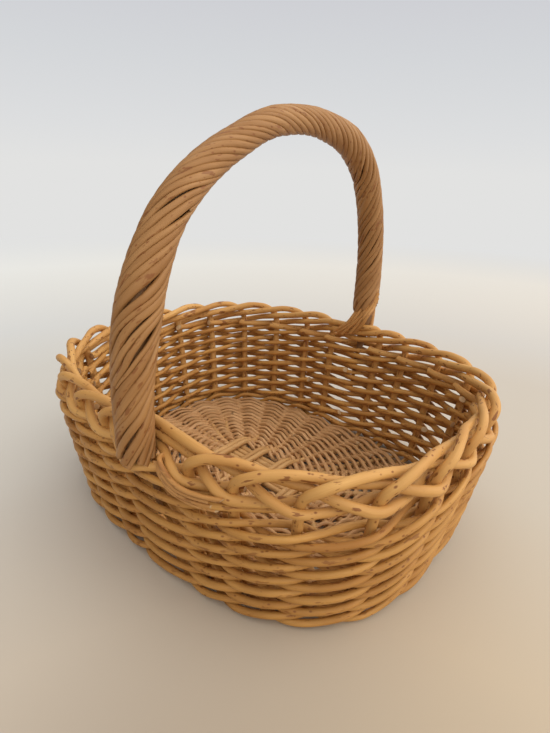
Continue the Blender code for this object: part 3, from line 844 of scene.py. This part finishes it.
for rod_number in (1, 2, 3):
    for band in "abcd":
        node = f"wale_{rod_number}{band}"
        middles, halves = frame_rod(node, DOWNWARD)
        line = smooth_run(middles, WALE_STEP)
        step = np.linalg.norm(np.diff(line, axis=0), axis=1).mean()
        cuts = [0]
        for turn in inner_turns(line):
            rod_length = chance.uniform(SHORTEST_WALE_ROD, LONGEST_WALE_ROD)
            rest = (len(line) - turn) * step
            if (turn - cuts[-1]) * step > rod_length and rest > SHORTEST_REST:
                cuts.append(turn)
        cuts.append(len(line) - 1)
        run_on = np.arange(1, round(LAP / step) + 1)[:, None] * step
        skins = []
        for first, last in zip(cuts, cuts[1:]):
            piece = line[first:last + 1]
            if first:
                piece = np.vstack([lap(piece[0], piece[1], run_on, -LAP_DOWN)[::-1], piece])
            if last < len(line) - 1:
                piece = np.vstack([piece, lap(piece[-1], piece[-2], run_on, LAP_DOWN)])
            thinning = np.linspace(1.08, 0.88, len(piece))
            half = halves.mean() * thinning * chance.uniform(0.94, 1.06)
            skins.append(rod_skin(piece, half, 10, (0.6, 0.9), 48 * MM))
        rod_piece(f"wall_{node}", skins, wale_finish, [node])


# Bow and wrapping: one thick willow rod bent over, its two thinned ends pushed down into the wall,
# and slim rods laid flat side by side round it in one steep helix. More of them run over the near
# leg's full hip, where the ends of the extra ones are tucked in.

NEAR_END = (0, -1, 0)
bow_finish = willow_finish(
    "bow willow", (0.26, 0.13, 0.05), (0.13, 0.06, 0.02), staining=0.5, specks=0.6
)
wrap_finish = willow_finish(
    "wrapping willow", (0.44, 0.233, 0.088), (0.27, 0.12, 0.034), staining=0.7, specks=0.8
)
cad_wraps = [frame_rod(f"handle_wrap_{number}", NEAR_END) for number in range(1, 10)]
ring_middles = np.mean([middles for middles, halves in cad_wraps], axis=0)
ring_reach = np.mean([
    np.linalg.norm(middles - ring_middles, axis=1) for middles, halves in cad_wraps
], axis=0)
ring_halves = np.mean([halves for middles, halves in cad_wraps], axis=0)
span = ring_middles[-1] - ring_middles[0]
across = np.cross(span, (0, 0, 1))
across /= np.linalg.norm(across)
ring_way = np.gradient(ring_middles, axis=0)
ring_inward = np.cross(across, ring_way)
ring_inward /= -np.linalg.norm(ring_inward, axis=1)[:, None]

# The real arch is a little flatter at both shoulders than the frame's, and slimmer over the top: mm
# inward, and a share of the frame's thickness, at rings of the frame counted from the near foot
INWARD_AT = (8, 9, 10, 11, 12, 13, 14, 16, 17, 18, 19, 20, 21, 22, 23, 24, 25, 26, 27, 28, 29)
INWARD = (
    0, 1.6, 3.0, 4.0, 4.2, 2.6, 1.2, 0.6, 1.8, 4.0, 5.0, 4.6, 3.2, 1.0, 0, -0.9, -1.6, -1.8, -1.4,
    -0.7, 0,
)
SLIM_AT = (8, 9, 10, 11, 12, 13, 16, 17, 18, 19, 20, 21, 22, 23)
SLIM = (1, 0.98, 0.95, 0.91, 0.88, 0.865, 0.865, 0.88, 0.93, 0.98, 1.02, 1.03, 1.02, 1)
rings = np.arange(len(ring_middles))
ring_middles = ring_middles + ring_inward * (np.interp(rings, INWARD_AT, INWARD) * MM)[:, None]
slim = np.interp(rings, SLIM_AT, SLIM)
bow_line, outer = smooth_run(ring_middles, 2.5 * MM, (ring_reach + ring_halves) * slim)
bow_run = run_along(bow_line)
bow_share = bow_run / bow_run[-1]
bow_along = np.gradient(bow_line, axis=0)
bow_along /= np.linalg.norm(bow_along, axis=1)[:, None]
bow_out = np.cross(across, bow_along)
bow_out /= np.linalg.norm(bow_out, axis=1)[:, None]
WRAP_LAY = 118 * MM
WRAP_DEPTH = 2.3 * MM

# The bow itself: its bare feet are the frame's, and between them it fills the wrapping
foot_line, foot_halves = frame_rod("handle_bow", NEAR_END)
below_wrapping = foot_line[:, 2] < bow_line[0, 2] - 4 * MM
near_foot = below_wrapping & (foot_line[:, 1] < 0)
far_foot = below_wrapping & (foot_line[:, 1] > 0)
wrapped = slice(3, -3, 4)
middles = np.vstack([foot_line[near_foot], bow_line[wrapped], foot_line[far_foot]])
core_halves = outer[wrapped] - 2.05 * WRAP_DEPTH
halves = np.concatenate([foot_halves[near_foot], core_halves, foot_halves[far_foot]])
line, radii = smooth_run(middles, 4 * MM, halves)
rod_piece("bow", [rod_skin(line, radii, 16)], bow_finish, ["handle_bow"])


# Each row: how wide a rod is beside the others, where it begins and ends along the bow, as shares
# of its length, and how much of a gap is left open after it on the legs, more so on the near one
FROM_FOOT, TO_FOOT = -1, 2
WRAPS = (
    (1.10, FROM_FOOT, TO_FOOT, 0.10),
    (0.80, FROM_FOOT, TO_FOOT, 0.55),
    (1.15, FROM_FOOT, TO_FOOT, 0.90),
    (0.95, FROM_FOOT, TO_FOOT, 0.10),
    (0.75, 0.05, 0.31, 0.40),
    (1.20, FROM_FOOT, TO_FOOT, 0.60),
    (0.90, FROM_FOOT, 0.62, 0.10),
    (1.05, FROM_FOOT, TO_FOOT, 0.85),
    (0.80, 0.10, TO_FOOT, 0.25),
    (1.15, FROM_FOOT, TO_FOOT, 0.50),
    (0.95, FROM_FOOT, TO_FOOT, 0.70),
    (0.85, 0.02, 0.44, 0.10),
    (1.10, FROM_FOOT, TO_FOOT, 0.40),
    (0.90, 0.30, TO_FOOT, 0.65),
    (1.00, FROM_FOOT, TO_FOOT, 0.85),
)
# The far ends are cut in steps where the fan starts, and the near ones run on under the border rod
FAN_START, FAN_STEP = 0.97, 0.008
RUN_ON_MM = 5
GAP_SIZE, LEAST_GAP, GAP_TURNS = 0.72, 0.06, 44
NARROWEST_HALF = 0.7 * MM


def eased(value, low, high):
    t = np.clip((value - low) / (high - low), 0, 1)
    return t * t * (3 - 2 * t)


on_legs = 1 - eased(bow_share, 0.22, 0.38) + 0.7 * eased(bow_share, 0.58, 0.70)
widths, gaps = [], []
for wide, begin, end, gap in WRAPS:
    width = np.full(len(bow_share), wide)
    if begin != FROM_FOOT:
        width *= eased(bow_share, begin - 0.05, begin + 0.03)
    if end != TO_FOOT:
        width *= 1 - eased(bow_share, end - 0.03, end + 0.05)
    phase = chance.uniform(0, math.tau, 2)
    width *= 1 + 0.13 * np.sin(bow_share * 17 + phase[0]) + 0.05 * np.sin(bow_share * 41 + phase[1])
    widths.append(width)
    opening = np.maximum(LEAST_GAP, np.sin(bow_share * GAP_TURNS + 2.4 * phase[0]))
    gaps.append(GAP_SIZE * gap * on_legs * opening)
widths, gaps = np.array(widths), np.array(gaps)
total = (widths + gaps).sum(0)
middle_share = (np.cumsum(widths + gaps, axis=0) - gaps - widths / 2) / total
main_number = 0
for number, (wide, begin, end, gap) in enumerate(WRAPS, 1):
    turn = math.tau * (bow_run / WRAP_LAY + middle_share[number - 1])
    arc = math.tau * widths[number - 1] / total
    helix = np.arctan(math.tau * (outer - WRAP_DEPTH) / WRAP_LAY)
    half = outer * arc / 2 * np.cos(helix)
    keep = (half > NARROWEST_HALF) & (bow_share < FAN_START + FAN_STEP * (number % 3))
    first, last = np.argmax(keep), len(keep) - np.argmax(keep[::-1])
    if begin == FROM_FOOT:
        first += int(chance.integers(0, 3))
    deep = np.minimum(WRAP_DEPTH, half * 0.85)
    outward = bow_out * np.cos(turn)[:, None] + across * np.sin(turn)[:, None]
    line = bow_line + outward * (outer - deep)[:, None]
    line, half, deep, outward = (values[first:last] for values in (line, half, deep, outward))
    if begin == FROM_FOOT:
        way = (line[0] - line[2]) / np.linalg.norm(line[0] - line[2])
        foot = [line[0] + way * run_on * MM for run_on in (RUN_ON_MM, RUN_ON_MM / 2)]
        line = np.vstack([*foot, line])
        half, deep, outward = (
            np.concatenate([values[:1], values[:1], values]) for values in (half, deep, outward)
        )
    skin = rod_skin(line, half * 0.97, 12, (0.25, 0.25), 60 * MM, outward=outward, depth=deep)
    nodes = []
    if begin == FROM_FOOT and end == TO_FOOT and main_number < len(cad_wraps):
        main_number += 1
        nodes = [f"handle_wrap_{main_number}"]
    rod_piece(f"wrap_rod_{number:02d}", [skin], wrap_finish, nodes)


# Ends of the wrapping: tips of its slim willow rods. At the near foot four of them sweep down
# under the border and lie along the weave. At the far foot a fan of them bends over the border,
# beside one bare end.

BASE_HALF, RIM_HALF = BASE_HALF_MM * MM, RIM_HALF_MM * MM
oval = unit_oval(oval_angles)
rim_run = run_along(oval * RIM_HALF)


def wall_point(place, outside, height):
    """A point by its place round the wall, in stakes, and how far outside their ring it lies."""
    half = BASE_HALF + (RIM_HALF - BASE_HALF) * height * MM / WALL_TOP
    angle = np.interp(place / STAKES * rim_run[-1], rim_run, oval_angles)
    spot = np.array([np.interp(angle, oval_angles, oval[:, axis]) for axis in (0, 1)]) * half
    slope = np.sign(spot) * np.abs(spot / half) ** (OVAL_POWER - 1) / half
    spot = spot + slope / np.linalg.norm(slope) * outside * MM
    return np.append(spot, height * MM)


# Each row: half thickness in mm, then points as place in stakes, mm outside their ring, and mm high
NEAR_TAILS = (
    (
        1.8, (20.53, -3.0, 114.5), (20.56, 3.5, 116.0), (20.66, 8.0, 116.0), (20.82, 10.5, 112.0),
        (21.00, 12.2, 108.6), (21.22, 12.6, 107.2), (21.50, 12.0, 107.6), (21.79, 10.5, 109.0),
    ),
    (
        1.7, (20.51, -2.0, 112.0), (20.54, 4.5, 112.8), (20.65, 8.5, 111.5), (20.82, 11.4, 107.4),
        (21.02, 12.4, 104.4), (21.27, 12.3, 103.6), (21.57, 11.4, 104.6),
    ),
    (
        1.6, (20.49, -1.0, 109.0), (20.52, 5.0, 109.4), (20.65, 8.8, 107.0), (20.83, 11.6, 103.2),
        (21.04, 12.1, 100.5), (21.32, 12.0, 99.9), (21.64, 11.0, 101.2),
    ),
    (
        1.3, (20.41, 4.5, 109.5), (20.50, 6.2, 106.0), (20.66, 9.2, 102.6), (20.86, 11.7, 99.4),
        (21.12, 12.0, 97.2), (21.40, 11.8, 97.0), (21.70, 10.8, 98.6),
    ),
)
FAR_FAN = (
    (
        2.3, (6.13, -6.8, 178.1), (6.26, -10.5, 157.9), (6.42, -12.0, 143.3), (6.61, -12.0, 130.2),
        (7.03, -9.0, 116.6),
    ),
    (
        2.1, (6.09, -4.1, 176.2), (6.19, -10.0, 157.3), (6.35, -12.0, 142.3), (6.52, -12.0, 129.7),
        (6.89, -9.0, 117.0),
    ),
    (
        2.3, (6.05, -4.0, 172.8), (6.13, -8.8, 155.7), (6.26, -12.0, 141.1), (6.46, -12.0, 129.4),
        (6.72, -9.0, 117.6),
    ),
    (
        2.4, (6.02, -3.0, 167.0), (6.07, -7.5, 153.9), (6.16, -12.0, 141.5), (6.31, -12.0, 130.6),
        (6.52, -9.0, 118.1),
    ),
    (
        2.2, (6.00, -3.0, 162.2), (6.03, -6.0, 152.4), (6.07, -12.0, 142.3), (6.20, -12.0, 130.9),
        (6.40, -9.0, 120.4),
    ),
)
FAR_END = (
    (3.0, (6.19, 6.5, 151), (6.15, 6, 138), (6.11, 5, 116)),
)
tail_finish = willow_finish(
    "wrapping end willow", (0.66, 0.36, 0.13), (0.42, 0.19, 0.05), staining=0.5, specks=0.6
)
for name, rods in (
    ("near_wrap_tails", NEAR_TAILS), ("far_wrap_fan", FAR_FAN), ("far_wrap_end", FAR_END),
):
    skins = []
    for half, *spots in rods:
        line = smooth_run(np.array([wall_point(*spot) for spot in spots]), 2.0 * MM)
        radii = half * MM * np.linspace(1.0, 0.8, len(line))
        skins.append(rod_skin(line, radii, 9, (0.4, 1.2), 40 * MM))
    rod_piece(name, skins, tail_finish)
